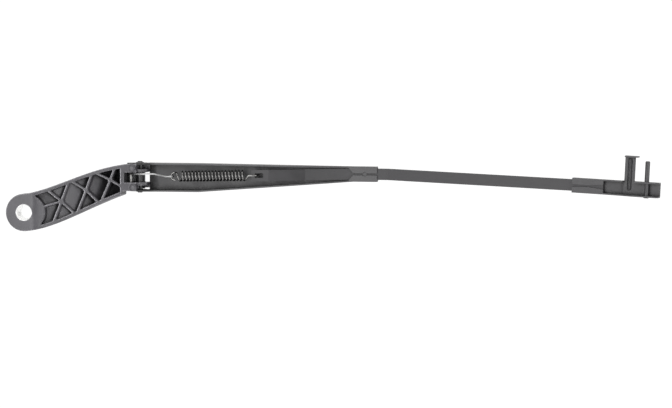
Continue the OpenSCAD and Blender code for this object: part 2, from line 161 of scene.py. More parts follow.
class WiperShapeSettings(bpy.types.PropertyGroup):
    """Sizes of the softened edges, the shoulder and the nubs"""

    cast_grain: FloatProperty(
        name="Cast skin step",
        description="Spacing of the points on the casting's fused skin",
        unit="LENGTH",
        default=0.36 * MM,
        min=0.25 * MM,
        max=1.0 * MM,
        precision=5,
    )
    cast_radii: IntProperty(
        name="Cast radii",
        description="Rounds of smoothing that give the casting its edge and corner radii",
        default=8,
        min=0,
        max=30,
    )
    shoulder_rounds: IntProperty(
        name="Shoulder blend",
        description="Rounds of smoothing where the boss runs into the neck",
        default=120,
        min=0,
        max=300,
    )
    nub_rise: FloatProperty(
        name="Nub rise",
        description="Height of the round nubs above the hinge's pivot line",
        unit="LENGTH",
        default=19.6 * MM,
        min=17.8 * MM,
        max=22.0 * MM,
        precision=5,
    )
    nub_width: FloatProperty(
        name="Nub width",
        description="Diameter of the round nubs beside the slot",
        unit="LENGTH",
        default=6.8 * MM,
        min=4.0 * MM,
        max=8.0 * MM,
        precision=5,
    )
    sheet_edge: FloatProperty(
        name="Sheet edge radius",
        description="Rounding of the stamped sheet's edges",
        unit="LENGTH",
        default=0.3 * MM,
        min=0.05 * MM,
        max=0.6 * MM,
        precision=5,
    )
    pin_edge: FloatProperty(
        name="Pin edge radius",
        description="Rounding of the edges of pins and rivets",
        unit="LENGTH",
        default=0.2 * MM,
        min=0.05 * MM,
        max=0.5 * MM,
        precision=5,
    )


class WiperStageSettings(bpy.types.PropertyGroup):
    """Camera, lamps and floor"""

    lens: FloatProperty(
        name="Lens",
        description="Focal length on a 36 mm wide sensor",
        subtype="DISTANCE_CAMERA",
        default=138.1,
        min=20.0,
        max=400.0,
    )
    key: FloatProperty(
        name="Key lamp",
        description="Power of the large soft lamp above the arm",
        subtype="POWER",
        default=15.0,
        min=0.0,
        max=500.0,
    )
    fill: FloatProperty(
        name="Fill lamps",
        description="Power of the long soft lamps at the sides",
        subtype="POWER",
        default=8.0,
        min=0.0,
        max=500.0,
    )
    sky: FloatProperty(
        name="Room light",
        description="Strength of the even light from all round",
        default=0.55,
        min=0.0,
        max=2.0,
    )
    drop: FloatProperty(
        name="Floor depth",
        description="Height of the floor in the arm's frame, below the seat face",
        unit="LENGTH",
        default=-0.62,
        min=-2.0,
        max=-0.1,
    )


# Shader node groups shared by the finishes


def group_socket(tree, name, kind, way, default=None):
    made = tree.interface.new_socket(name=name, in_out=way, socket_type=kind)
    if default is not None:
        made.default_value = default
    return made


def new_group(name):
    tree = bpy.data.node_groups.new(name, "ShaderNodeTree")
    inlet = tree.nodes.new("NodeGroupInput")
    outlet = tree.nodes.new("NodeGroupOutput")
    inlet.location = (-900, 0)
    outlet.location = (700, 0)
    return tree, inlet, outlet


def add(tree, kind, place, **settings):
    node = tree.nodes.new(kind)
    node.location = place
    for key, value in settings.items():
        setattr(node, key, value)
    return node


def object_noise(tree, inlet, scale_name, place, detail, roughness=0.55):
    where = add(tree, "ShaderNodeTexCoord", (place[0] - 400, place[1]))
    noise = add(tree, "ShaderNodeTexNoise", place)
    noise.inputs["Detail"].default_value = detail
    noise.inputs["Roughness"].default_value = roughness
    tree.links.new(where.outputs["Object"], noise.inputs["Vector"])
    tree.links.new(inlet.outputs[scale_name], noise.inputs["Scale"])
    return noise


def paint_mottle_group():
    """Uneven depth of a sprayed coat: slow shade drift, fine speckle and matching gloss."""
    tree, inlet, outlet = new_group("coat_mottle")
    group_socket(tree, "Paint", "NodeSocketColor", "INPUT", (0.05, 0.05, 0.05, 1.0))
    group_socket(tree, "Drift scale", "NodeSocketFloat", "INPUT", 60.0)
    group_socket(tree, "Speckle scale", "NodeSocketFloat", "INPUT", 1400.0)
    group_socket(tree, "Drift", "NodeSocketFloat", "INPUT", 0.25)
    group_socket(tree, "Gloss low", "NodeSocketFloat", "INPUT", 0.32)
    group_socket(tree, "Gloss high", "NodeSocketFloat", "INPUT", 0.48)
    group_socket(tree, "Colour", "NodeSocketColor", "OUTPUT")
    group_socket(tree, "Roughness", "NodeSocketFloat", "OUTPUT")
    group_socket(tree, "Grain", "NodeSocketFloat", "OUTPUT")
    drift = object_noise(tree, inlet, "Drift scale", (-500, 200), 3.0)
    speckle = object_noise(tree, inlet, "Speckle scale", (-500, -200), 2.0)
    spread = add(tree, "ShaderNodeMapRange", (-200, 200))
    spread.inputs["From Min"].default_value = 0.3
    spread.inputs["From Max"].default_value = 0.7
    spread.inputs["To Min"].default_value = -1.0
    spread.inputs["To Max"].default_value = 1.0
    tree.links.new(drift.outputs["Fac"], spread.inputs["Value"])
    amount = add(tree, "ShaderNodeMath", (0, 260), operation="MULTIPLY_ADD")
    tree.links.new(spread.outputs["Result"], amount.inputs[0])
    tree.links.new(inlet.outputs["Drift"], amount.inputs[1])
    amount.inputs[2].default_value = 1.0
    shade = add(tree, "ShaderNodeVectorMath", (200, 200), operation="SCALE")
    tree.links.new(inlet.outputs["Paint"], shade.inputs[0])
    tree.links.new(amount.outputs[0], shade.inputs["Scale"])
    tree.links.new(shade.outputs["Vector"], outlet.inputs["Colour"])
    both = add(tree, "ShaderNodeMath", (-200, -60), operation="ADD")
    tree.links.new(drift.outputs["Fac"], both.inputs[0])
    tree.links.new(speckle.outputs["Fac"], both.inputs[1])
    gloss = add(tree, "ShaderNodeMapRange", (200, -60))
    gloss.inputs["From Min"].default_value = 0.75
    gloss.inputs["From Max"].default_value = 1.25
    tree.links.new(both.outputs[0], gloss.inputs["Value"])
    tree.links.new(inlet.outputs["Gloss low"], gloss.inputs["To Min"])
    tree.links.new(inlet.outputs["Gloss high"], gloss.inputs["To Max"])
    tree.links.new(gloss.outputs["Result"], outlet.inputs["Roughness"])
    tree.links.new(speckle.outputs["Fac"], outlet.inputs["Grain"])
    return tree


def edge_wear_and_highlight_group():
    """Mask of exposed corners, broken up by noise, where a coat is rubbed thin and painted paler as a
    highlight.
    """
    tree, inlet, outlet = new_group("edge_wear_and_highlight")
    group_socket(tree, "Radius", "NodeSocketFloat", "INPUT", 0.0006)
    group_socket(tree, "Break scale", "NodeSocketFloat", "INPUT", 420.0)
    group_socket(tree, "Amount", "NodeSocketFloat", "INPUT", 0.4)
    group_socket(tree, "Mask", "NodeSocketFloat", "OUTPUT")
    flat = add(tree, "ShaderNodeNewGeometry", (-700, 300))
    soft = add(tree, "ShaderNodeBevel", (-700, 100), samples=6)
    tree.links.new(inlet.outputs["Radius"], soft.inputs["Radius"])
    sky = add(tree, "ShaderNodeAmbientOcclusion", (-700, -400), samples=6, only_local=True)
    tree.links.new(inlet.outputs["Radius"], sky.inputs["Distance"])
    proud = add(tree, "ShaderNodeMapRange", (-280, -400))
    proud.inputs["From Min"].default_value = 0.72
    proud.inputs["From Max"].default_value = 0.95
    tree.links.new(sky.outputs["AO"], proud.inputs["Value"])
    facing = add(tree, "ShaderNodeVectorMath", (-480, 200), operation="DOT_PRODUCT")
    tree.links.new(flat.outputs["Normal"], facing.inputs[0])
    tree.links.new(soft.outputs["Normal"], facing.inputs[1])
    corner = add(tree, "ShaderNodeMapRange", (-280, 200))
    corner.inputs["From Min"].default_value = 0.99
    corner.inputs["From Max"].default_value = 0.9
    tree.links.new(facing.outputs["Value"], corner.inputs["Value"])
    breaks = object_noise(tree, inlet, "Break scale", (-480, -150), 4.0, 0.65)
    gate = add(tree, "ShaderNodeMapRange", (-280, -150))
    gate.inputs["From Min"].default_value = 0.22
    gate.inputs["From Max"].default_value = 0.55
    tree.links.new(breaks.outputs["Fac"], gate.inputs["Value"])
    outer = add(tree, "ShaderNodeMath", (-100, 60), operation="MULTIPLY")
    tree.links.new(corner.outputs["Result"], outer.inputs[0])
    tree.links.new(proud.outputs["Result"], outer.inputs[1])
    joined = add(tree, "ShaderNodeMath", (60, 60), operation="MULTIPLY")
    tree.links.new(outer.outputs[0], joined.inputs[0])
    tree.links.new(gate.outputs["Result"], joined.inputs[1])
    scaled = add(tree, "ShaderNodeMath", (220, 60), operation="MULTIPLY")
    tree.links.new(joined.outputs[0], scaled.inputs[0])
    tree.links.new(inlet.outputs["Amount"], scaled.inputs[1])
    tree.links.new(scaled.outputs[0], outlet.inputs["Mask"])
    return tree


def recess_shade_group():
    """Mask of sheltered corners, where the coat is painted dark as shade and stays dull."""
    tree, inlet, outlet = new_group("recess_painted_shade")
    group_socket(tree, "Reach", "NodeSocketFloat", "INPUT", 0.004)
    group_socket(tree, "Cloud scale", "NodeSocketFloat", "INPUT", 180.0)
    group_socket(tree, "Amount", "NodeSocketFloat", "INPUT", 0.8)
    group_socket(tree, "Mask", "NodeSocketFloat", "OUTPUT")
    # Painted shade: ambient occlusion over the reach sets where the colour is darkened
    shelter = add(tree, "ShaderNodeAmbientOcclusion", (-500, 150), samples=6, only_local=True)
    tree.links.new(inlet.outputs["Reach"], shelter.inputs["Distance"])
    hidden = add(tree, "ShaderNodeMapRange", (-280, 150))
    hidden.inputs["From Min"].default_value = 0.85
    hidden.inputs["From Max"].default_value = 0.35
    tree.links.new(shelter.outputs["AO"], hidden.inputs["Value"])
    cloud = object_noise(tree, inlet, "Cloud scale", (-500, -150), 5.0, 0.6)
    patch = add(tree, "ShaderNodeMapRange", (-280, -150))
    patch.inputs["From Min"].default_value = 0.3
    patch.inputs["From Max"].default_value = 0.55
    patch.inputs["To Min"].default_value = 0.6
    tree.links.new(cloud.outputs["Fac"], patch.inputs["Value"])
    joined = add(tree, "ShaderNodeMath", (0, 60), operation="MULTIPLY")
    tree.links.new(hidden.outputs["Result"], joined.inputs[0])
    tree.links.new(patch.outputs["Result"], joined.inputs[1])
    scaled = add(tree, "ShaderNodeMath", (200, 60), operation="MULTIPLY")
    tree.links.new(joined.outputs[0], scaled.inputs[0])
    tree.links.new(inlet.outputs["Amount"], scaled.inputs[1])
    tree.links.new(scaled.outputs[0], outlet.inputs["Mask"])
    return tree


def shared_group(name, build):
    return bpy.data.node_groups.get(name) or build()


def place_group(tree, name, build, place, **values):
    node = add(tree, "ShaderNodeGroup", place, node_tree=shared_group(name, build))
    for key, value in values.items():
        node.inputs[key.replace("_", " ")].default_value = value
    return node


def rgba(colour):
    return (colour[0], colour[1], colour[2], 1.0)


def new_material(name):
    mat = bpy.data.materials.new(name)
    mat.use_nodes = True
    tree = mat.node_tree
    tree.nodes.clear()
    shader = add(tree, "ShaderNodeBsdfPrincipled", (900, 0))
    sink = add(tree, "ShaderNodeOutputMaterial", (1200, 0))
    tree.links.new(shader.outputs["BSDF"], sink.inputs["Surface"])
    return mat, tree, shader


def blend_colour(tree, mask, under, over, place):
    mix = add(tree, "ShaderNodeMix", place, data_type="RGBA")
    tree.links.new(mask, mix.inputs["Factor"])
    tree.links.new(under, mix.inputs["A"])
    mix.inputs["B"].default_value = rgba(over)
    return mix.outputs["Result"]


def mottled_coat(tree, paint, gloss, drift):
    coatwork = place_group(tree, "coat_mottle", paint_mottle_group, (0, 200), Drift=drift)
    coatwork.inputs["Paint"].default_value = rgba(paint)
    coatwork.inputs["Gloss low"].default_value = gloss[0]
    coatwork.inputs["Gloss high"].default_value = gloss[1]
    return coatwork


def fine_grain(tree, coatwork, shader, strength, depth):
    bump = add(tree, "ShaderNodeBump", (600, -250))
    bump.inputs["Strength"].default_value = strength
    bump.inputs["Distance"].default_value = depth
    tree.links.new(coatwork.outputs["Grain"], bump.inputs["Height"])
    tree.links.new(bump.outputs["Normal"], shader.inputs["Normal"])


def coated_metal(
    name, paint, gloss, drift, grain, rub_and_highlight, bare, shade_amount, reach=4.0 * MM, shine=0.5, edge=0.3 * MM
):
    """Black coat on metal: mottled colour and gloss, rubbed corners that are worn paint and painted
    highlight, recesses with painted shade and duller gloss, fine grain.
    """
    mat, tree, shader = new_material(name)
    coatwork = mottled_coat(tree, paint, gloss, drift)
    worn_and_lit = place_group(tree, "edge_wear_and_highlight", edge_wear_and_highlight_group, (0, -100), Amount=rub_and_highlight, Radius=edge)
    recess_shade_mask = place_group(tree, "recess_painted_shade", recess_shade_group, (0, -350), Amount=shade_amount, Reach=reach)
    # Worn paint and painted highlight: exposed corners take the bare colour
    colour = blend_colour(tree, worn_and_lit.outputs["Mask"], coatwork.outputs["Colour"], bare, (350, 200))
    # Painted shade: sheltered corners are darkened towards near black
    colour = blend_colour(tree, recess_shade_mask.outputs["Mask"], colour, RECESS_SHADE, (600, 200))
    tree.links.new(colour, shader.inputs["Base Color"])
    dull = add(tree, "ShaderNodeMath", (600, -20), operation="MULTIPLY_ADD")
    tree.links.new(recess_shade_mask.outputs["Mask"], dull.inputs[0])
    dull.inputs[1].default_value = 0.12
    tree.links.new(coatwork.outputs["Roughness"], dull.inputs[2])
    tree.links.new(dull.outputs[0], shader.inputs["Roughness"])
    shader.inputs["Specular IOR Level"].default_value = shine
    fine_grain(tree, coatwork, shader, grain, 0.12 * MM)
    return mat


def shader_of(mat):
    return next(node for node in mat.node_tree.nodes if node.type == "BSDF_PRINCIPLED")


def object_axes(tree):
    """Nodes that give a point's place on the object, whole and split by axis."""
    where = add(tree, "ShaderNodeTexCoord", (-900, 700))
    axes = add(tree, "ShaderNodeSeparateXYZ", (-700, 700))
    tree.links.new(where.outputs["Object"], axes.inputs["Vector"])
    return where, axes


def pivot_line():
    """Where the hinge's pivot runs, as x and z."""
    low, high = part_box("pivot_pin")
    return (low[0] + high[0]) / 2, (low[2] + high[2]) / 2


def overlay(tree, shader, mask, over, dulling):
    """Lay a colour over the finish where the mask is set, and change its roughness there."""
    under = shader.inputs["Base Color"].links[0].from_socket
    tree.links.new(blend_colour(tree, mask, under, over, (700, 500)), shader.inputs["Base Color"])
    gloss = shader.inputs["Roughness"].links[0].from_socket
    change = add(tree, "ShaderNodeMath", (700, 300), operation="MULTIPLY_ADD")
    tree.links.new(mask, change.inputs[0])
    change.inputs[1].default_value = dulling
    tree.links.new(gloss, change.inputs[2])
    tree.links.new(change.outputs[0], shader.inputs["Roughness"])


def bare_taper(mat, metal):
    """Leave the paint off inside the spindle hole, where the taper is machined."""
    tree, shader = mat.node_tree, shader_of(mat)
    axes = object_axes(tree)[1]
    flat = add(tree, "ShaderNodeCombineXYZ", (-500, 760))
    tree.links.new(axes.outputs["X"], flat.inputs["X"])
    tree.links.new(axes.outputs["Y"], flat.inputs["Y"])
    radius = add(tree, "ShaderNodeVectorMath", (-300, 760), operation="LENGTH")
    tree.links.new(flat.outputs["Vector"], radius.inputs[0])
    near = add(tree, "ShaderNodeMapRange", (-100, 760))
    near.inputs["From Min"].default_value = MOUTH_RADIUS + 0.35 * MM
    near.inputs["From Max"].default_value = MOUTH_RADIUS + 0.1 * MM
    tree.links.new(radius.outputs["Value"], near.inputs["Value"])
    above = add(tree, "ShaderNodeMapRange", (-100, 560))
    above.inputs["From Min"].default_value = BOSS_FOOT + 0.1 * MM
    above.inputs["From Max"].default_value = BOSS_FOOT + 0.4 * MM
    tree.links.new(axes.outputs["Z"], above.inputs["Value"])
    inside = add(tree, "ShaderNodeMath", (100, 660), operation="MULTIPLY")
    tree.links.new(near.outputs["Result"], inside.inputs[0])
    tree.links.new(above.outputs["Result"], inside.inputs[1])
    overlay(tree, shader, inside.outputs[0], metal, -0.1)
    tree.links.new(inside.outputs[0], shader.inputs["Metallic"])


def darken_by_hinge(mat):
    """Darker, duller web beside the hinge, thinning out along the arm."""
    tree, shader = mat.node_tree, shader_of(mat)
    pivot_x = pivot_line()[0]
    where, axes = object_axes(tree)
    cloud = add(tree, "ShaderNodeTexNoise", (-700, 500))
    cloud.inputs["Scale"].default_value = 160.0
    cloud.inputs["Detail"].default_value = 3.0
    tree.links.new(where.outputs["Object"], cloud.inputs["Vector"])
    ragged = add(tree, "ShaderNodeMath", (-500, 600), operation="MULTIPLY_ADD")
    tree.links.new(cloud.outputs["Fac"], ragged.inputs[0])
    ragged.inputs[1].default_value = HINGE_DARKENING_RAGGED
    tree.links.new(axes.outputs["X"], ragged.inputs[2])
    thin = add(tree, "ShaderNodeMapRange", (-300, 600))
    thin.inputs["From Min"].default_value = pivot_x + HINGE_DARKENING[1]
    thin.inputs["From Max"].default_value = pivot_x + HINGE_DARKENING[0]
    thin.inputs["To Max"].default_value = 0.85
    tree.links.new(ragged.outputs[0], thin.inputs["Value"])
    overlay(tree, shader, thin.outputs["Result"], HINGE_DARK_COLOUR, 0.3)


def bright_metal(name, colour, gloss, drift):
    """Bare or plated steel with painted shade in its recesses and fine drag marks."""
    mat, tree, shader = new_material(name)
    coatwork = mottled_coat(tree, colour, gloss, drift)
    # Painted shade: recesses found by ambient occlusion are darkened towards a brown-grey
    recess_shade_mask = place_group(tree, "recess_painted_shade", recess_shade_group, (0, -350), Amount=0.7, Reach=3.0 * MM)
    shaded_steel = blend_colour(tree, recess_shade_mask.outputs["Mask"], coatwork.outputs["Colour"], STEEL_RECESS_SHADE, (350, 200))
    tree.links.new(shaded_steel, shader.inputs["Base Color"])
    tree.links.new(coatwork.outputs["Roughness"], shader.inputs["Roughness"])
    fine_grain(tree, coatwork, shader, 0.15, 0.05 * MM)
    shader.inputs["Metallic"].default_value = 1.0
    return mat


# Shared mesh finishing


def give_finish(obj, mat):
    obj.data.materials.clear()
    obj.data.materials.append(mat)


def soften_edges(obj, radius, segments=3, angle=32.0):
    weld = obj.modifiers.new("Join seams", "WELD")
    weld.merge_threshold = SEAM
    bevel = obj.modifiers.new("Soft edges", "BEVEL")
    bevel.width = radius
    bevel.segments = segments
    bevel.limit_method = "ANGLE"
    bevel.angle_limit = math.radians(angle)
    bevel.use_clamp_overlap = True
    bevel.miter_outer = "MITER_ARC"
    bevel.harden_normals = False
    flow = obj.modifiers.new("Even shading", "WEIGHTED_NORMAL")
    flow.keep_sharp = True
    flow.weight = 60


def turned_shell(shape, centre, profile, sides=40):
    """Closed round shell on an upright axis, from (radius, height) pairs given bottom first."""
    rings = []
    for radius, height in profile:
        ring = []
        for k in range(sides):
            turn = 2.0 * math.pi * k / sides
            x = centre[0] + radius * math.cos(turn)
            y = centre[1] + radius * math.sin(turn)
            ring.append(shape.verts.new((x, y, height)))
        rings.append(ring)
    for low, high in zip(rings, rings[1:]):
        for k in range(sides):
            n = (k + 1) % sides
            shape.faces.new((low[k], low[n], high[n], high[k]))
    shape.faces.new(list(reversed(rings[0])))
    shape.faces.new(rings[-1])


def nub_shells(shape):
    """Places and profiles of the two nubs, from the pivot and the channel's walls at the hinge."""
    pivot_x, pivot_z = pivot_line()
    far_wall, near_wall = (corner[1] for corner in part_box("arm_channel"))
    radius = shape.nub_width / 2
    foot = pivot_z + NUB_FOOT
    crown = pivot_z + shape.nub_rise
    profile = [
        (radius, foot),
        (radius, crown - 1.5 * MM),
        (radius * 0.93, crown - 0.8 * MM),
        (radius * 0.72, crown - 0.25 * MM),
        (radius * 0.4, crown),
    ]
    spots = ((pivot_x - 3.0 * MM, near_wall - 4.2 * MM), (pivot_x - 1.8 * MM, far_wall + 3.7 * MM))
    return [(spot, profile) for spot in spots]


def fused_casting(source, shells, grain, rounds):
    """The CAD casting and its raised nubs as one skin with the radii that die casting leaves."""
    mesh = source.data.copy()
    mesh.name = "fused_casting"
    shape = bmesh.new()
    shape.from_mesh(mesh)
    for centre, profile in shells:
        turned_shell(shape, centre, profile)
    shape.to_mesh(mesh)
    shape.free()
    piece = bpy.data.objects.new("fused_casting", mesh)
    bpy.context.scene.collection.objects.link(piece)
    skin = piece.modifiers.new("Cast skin", "REMESH")
    skin.mode = "VOXEL"
    skin.voxel_size = grain
    skin.use_smooth_shade = True
    radii = piece.modifiers.new("Cast radii", "SMOOTH")
    radii.factor = 0.5
    radii.iterations = rounds
    return piece


def fade(value, start, end):
    """0 before start, 1 past end, even in between."""
    return max(0.0, min(1.0, (value - start) / (end - start)))


def blend_shoulder(piece, rounds):
    """Ease the creases where the boss runs into the neck, clear of the hole and the outline."""
    solid = piece.evaluated_get(bpy.context.evaluated_depsgraph_get())
    mesh = bpy.data.meshes.new_from_object(solid)
    mesh.name = "fused_casting"
    piece.modifiers.clear()
    piece.data = mesh
    patch = piece.vertex_groups.new(name="shoulder")
    boss_radius = -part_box("head_casting")[0][0]
    start, full, easing, end = SHOULDER
    for vert in mesh.vertices:
        x, y = vert.co[:2]
        if x < start or x > end or vert.normal.z < SHOULDER_LEAN:
            continue
        weight = fade(x, start, full) * fade(-x, -end, -easing)
        weight *= fade(math.hypot(x, y), MOUTH_RADIUS + 0.7 * MM, MOUTH_RADIUS + 1.8 * MM)
        weight *= fade(-abs(y), 1.5 * MM - boss_radius, 4.0 * MM - boss_radius)
        if weight > 0.0:
            patch.add([vert.index], weight, "REPLACE")
    ease = piece.modifiers.new("Shoulder blend", "SMOOTH")
    ease.vertex_group = "shoulder"
    ease.factor = 0.5
    ease.iterations = rounds


def cut_wire(shape, x, keep_low):
    """Cut a closed wire at x, keep one side, and close its end with a ring beside it."""
    inside = x - END_RING if keep_low else x + END_RING
    for place, drop in ((x, True), (inside, False)):
        bmesh.ops.bisect_plane(
            shape,
            geom=shape.verts[:] + shape.edges[:] + shape.faces[:],
            dist=0.001 * MM,
            plane_co=(place, 0.0, 0.0),
            plane_no=(1.0, 0.0, 0.0),
            clear_outer=drop and keep_low,
            clear_inner=drop and not keep_low,
        )
    bmesh.ops.holes_fill(shape, edges=[edge for edge in shape.edges if edge.is_boundary])


def round_wire(name, source, trim):
    """Part of the CAD spring's faceted wire as a smooth round one, in quads along the same rings."""
    mesh = source.data.copy()
    mesh.name = name
    shape = bmesh.new()
    shape.from_mesh(mesh)
    bmesh.ops.remove_doubles(shape, verts=shape.verts, dist=SEAM)
    bmesh.ops.join_triangles(
        shape,
        faces=shape.faces,
        angle_face_threshold=math.radians(60.0),
        angle_shape_threshold=math.radians(60.0),
    )
    trim(shape)
    bmesh.ops.recalc_face_normals(shape, faces=shape.faces)
    for face in shape.faces:
        face.smooth = True
    shape.to_mesh(mesh)
    shape.free()
    piece = bpy.data.objects.new(name, mesh)
    bpy.context.scene.collection.objects.link(piece)
    rounder = piece.modifiers.new("Round wire", "SUBSURF")
    rounder.levels = 1
    rounder.render_levels = 1
    return piece


def trim_to_tail(shape):
    """Leave the outer hook and the straight run before it."""
    cut_wire(shape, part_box("tension_spring")[1][0] - TAIL_START, False)


def trim_to_coils(shape):
    """Leave the coils, the inner hook and a thin straight run that slides inside the tail."""
    low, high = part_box("tension_spring")
    middle = (low[2] + high[2]) / 2
    cut_wire(shape, high[0] - COILS_END, True)
    tip = [vert for vert in shape.verts if vert.co.x > high[0] - TIP_START and vert.co.z < middle]
    bmesh.ops.delete(shape, geom=tip, context="VERTS")
    shape.normal_update()
    for vert in shape.verts:
        if vert.co.x > high[0] - THIN_START:
            vert.co -= vert.normal * SLIDE_GAP


# Operators, one for each piece or group of like pieces


class WIPER_OT_casting(bpy.types.Operator):
    """Fuse the cranked casting with its nubs and finish it in black powder coat"""

    bl_idname = "wiper.casting"
    bl_label = "Dress the casting"

    def execute(self, context):
        paint, shape = context.scene.wiper_paint, context.scene.wiper_shape
        mat = coated_metal(
            "casting_powder_coat",
            paint.casting,
            gloss=(0.34, 0.46),
            drift=0.24,
            grain=0.5,
            # Pale rib tops from the rub and bare colour: partly worn paint, partly painted highlight
            rub_and_highlight=min(1.0, paint.rub_and_highlight * 1.6),
            bare=(0.5, 0.49, 0.52),
            # Painted shade darkens the pockets and recesses over a 13 mm reach
            shade_amount=0.88,
            reach=13.0 * MM,
            shine=0.42,
            edge=1.3 * MM,
        )
        bare_taper(mat, paint.taper)
        nubs = nub_shells(shape)
        skin = fused_casting(NODES["head_casting"], nubs, shape.cast_grain, shape.cast_radii)
        blend_shoulder(skin, shape.shoulder_rounds)
        give_finish(skin, mat)
        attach(skin, "head")
        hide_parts("head_casting")
        return {"FINISHED"}


class WIPER_OT_channel(bpy.types.Operator):
    """Finish the folded channel and its rivet in black paint, with a darker patch beside the hinge"""

    bl_idname = "wiper.channel"
    bl_label = "Dress the channel"

    def execute(self, context):
        paint, shape = context.scene.wiper_paint, context.scene.wiper_shape
        mat = coated_metal(
            "channel_paint",
            paint.sheet,
            gloss=(0.36, 0.48),
            drift=0.14,
            grain=0.2,
            rub_and_highlight=paint.rub_and_highlight * 0.3,
            bare=(0.2, 0.2, 0.2),
            shade_amount=0.9,
            reach=7.0 * MM,
            shine=0.4,
        )
        darken_by_hinge(mat)
        for name in ("arm_channel", "bar_rivet"):
            give_finish(NODES[name], mat)
            soften_edges(NODES[name], shape.sheet_edge)
        return {"FINISHED"}


class WIPER_OT_bar(bpy.types.Operator):
    """Finish the flat bar in black paint"""

    bl_idname = "wiper.bar"
    bl_label = "Dress the bar"

    def execute(self, context):
        paint, shape = context.scene.wiper_paint, context.scene.wiper_shape
        mat = coated_metal(
            "bar_paint",
            paint.sheet,
            gloss=(0.42, 0.55),
            drift=0.18,
            grain=0.4,
            rub_and_highlight=paint.rub_and_highlight * 0.5,
            bare=(0.2, 0.2, 0.2),
            shade_amount=0.8,
            reach=3.0 * MM,
            shine=0.3,
        )
        give_finish(NODES["arm_bar"], mat)
        soften_edges(NODES["arm_bar"], shape.sheet_edge)
        return {"FINISHED"}


class WIPER_OT_holder(bpy.types.Operator):
    """Finish the crimped blade holder and its pin"""

    bl_idname = "wiper.holder"
    bl_label = "Dress the blade holder"

    def execute(self, context):
        paint, shape = context.scene.wiper_paint, context.scene.wiper_shape
        mat = coated_metal(
            "holder_paint",
            paint.sheet,
            gloss=(0.36, 0.5),
            drift=0.16,
            grain=0.3,
            rub_and_highlight=paint.rub_and_highlight * 0.5,
            bare=(0.22, 0.22, 0.22),
            shade_amount=0.95,
            reach=3.8 * MM,
            shine=0.35,
        )
        give_finish(NODES["blade_holder"], mat)
        soften_edges(NODES["blade_holder"], shape.sheet_edge * 0.8)
        dark = coated_metal(
            "blade_pin_coat",
            paint.sheet,
            gloss=(0.28, 0.4),
            drift=0.15,
            grain=0.15,
            rub_and_highlight=paint.rub_and_highlight * 0.3,
            bare=(0.22, 0.22, 0.22),
            shade_amount=0.9,
            shine=0.35,
        )
        give_finish(NODES["blade_pin"], dark)
        soften_edges(NODES["blade_pin"], shape.pin_edge)
        return {"FINISHED"}


class WIPER_OT_hinge_steel(bpy.types.Operator):
    """Finish the link plate in plating, the anchor pin in oiled steel and the pivot pin in black"""

    bl_idname = "wiper.hinge_steel"
    bl_label = "Dress the pins and link"

    def execute(self, context):
        paint, shape = context.scene.wiper_paint, context.scene.wiper_shape
        plated = bright_metal("link_plating", paint.plating, (0.28, 0.45), 0.2)
        oiled = bright_metal("anchor_steel", paint.spring, (0.3, 0.42), 0.2)
        for name, mat in (("anchor_pin", oiled), ("tension_link", plated)):
            give_finish(NODES[name], mat)
            soften_edges(NODES[name], shape.pin_edge)
        black = coated_metal(
            "pivot_paint",
            paint.sheet,
            gloss=(0.3, 0.42),
            drift=0.14,
            grain=0.2,
            rub_and_highlight=paint.rub_and_highlight * 0.3,
            bare=(0.24, 0.24, 0.24),
            shade_amount=0.9,
        )
        give_finish(NODES["pivot_pin"], black)
        soften_edges(NODES["pivot_pin"], shape.pin_edge)
        return {"FINISHED"}


class WIPER_OT_spring(bpy.types.Operator):
    """Build the spring's round wire and finish it in dark oiled steel"""

    bl_idname = "wiper.spring"
    bl_label = "Dress the spring"

    def execute(self, context):
        paint = context.scene.wiper_paint
        mat = bright_metal("spring_wire", paint.spring, (0.16, 0.28), 0.15)
        coils = round_wire("spring_coils", NODES["tension_spring"], trim_to_coils)
        give_finish(coils, mat)
        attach(coils, "pull_link")
        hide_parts("tension_spring")
        tail = round_wire("spring_tail", NODES["tension_spring"], trim_to_tail)
        give_finish(tail, mat)
        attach(tail, "arm")
        return {"FINISHED"}


def lamp(name, place, aim, size, power):
    data = bpy.data.lights.new(name, "AREA")
    data.shape = "RECTANGLE"
    data.size, data.size_y = size
    data.energy = power
    obj = bpy.data.objects.new(name, data)
    bpy.context.scene.collection.objects.link(obj)
    obj.location = place
    obj.rotation_mode = "QUATERNION"
    obj.rotation_quaternion = (Vector(aim) - Vector(place)).to_track_quat("-Z", "Y")
    obj.visible_camera = False
    return obj


def white_where_seen(tree, lit, white, sink):
    """Show the white shader to the camera and in reflections, and the lit one to all other rays."""
    path = add(tree, "ShaderNodeLightPath", (-400, 300))
    seen = add(tree, "ShaderNodeMath", (-200, 300), operation="MAXIMUM")
    tree.links.new(path.outputs["Is Camera Ray"], seen.inputs[0])
    tree.links.new(path.outputs["Is Glossy Ray"], seen.inputs[1])
    also = add(tree, "ShaderNodeMath", (0, 300), operation="MAXIMUM")
    tree.links.new(seen.outputs[0], also.inputs[0])
    tree.links.new(path.outputs["Is Transmission Ray"], also.inputs[1])
    pick = add(tree, "ShaderNodeMixShader", (250, 0))
    tree.links.new(also.outputs[0], pick.inputs["Fac"])
    tree.links.new(lit, pick.inputs[1])
    tree.links.new(white, pick.inputs[2])
    tree.links.new(pick.outputs["Shader"], sink.inputs["Surface"])


def photo_camera(scene, lens):
    data = bpy.data.cameras.new("photo_camera")
    data.sensor_width = 36.0
    data.lens = lens
    data.clip_start = 0.01
    data.clip_end = 30.0
    cam = bpy.data.objects.new("photo_camera", data)
    scene.collection.objects.link(cam)
    right = CAMERA_RIGHT.normalized()
    ahead = CAMERA_AHEAD.normalized()
    up = right.cross(ahead).normalized()
    turn = Matrix((right, up, -ahead)).transposed()
    cam.matrix_world = Matrix.Translation(CAMERA_PLACE) @ turn.to_4x4()
    scene.camera = cam


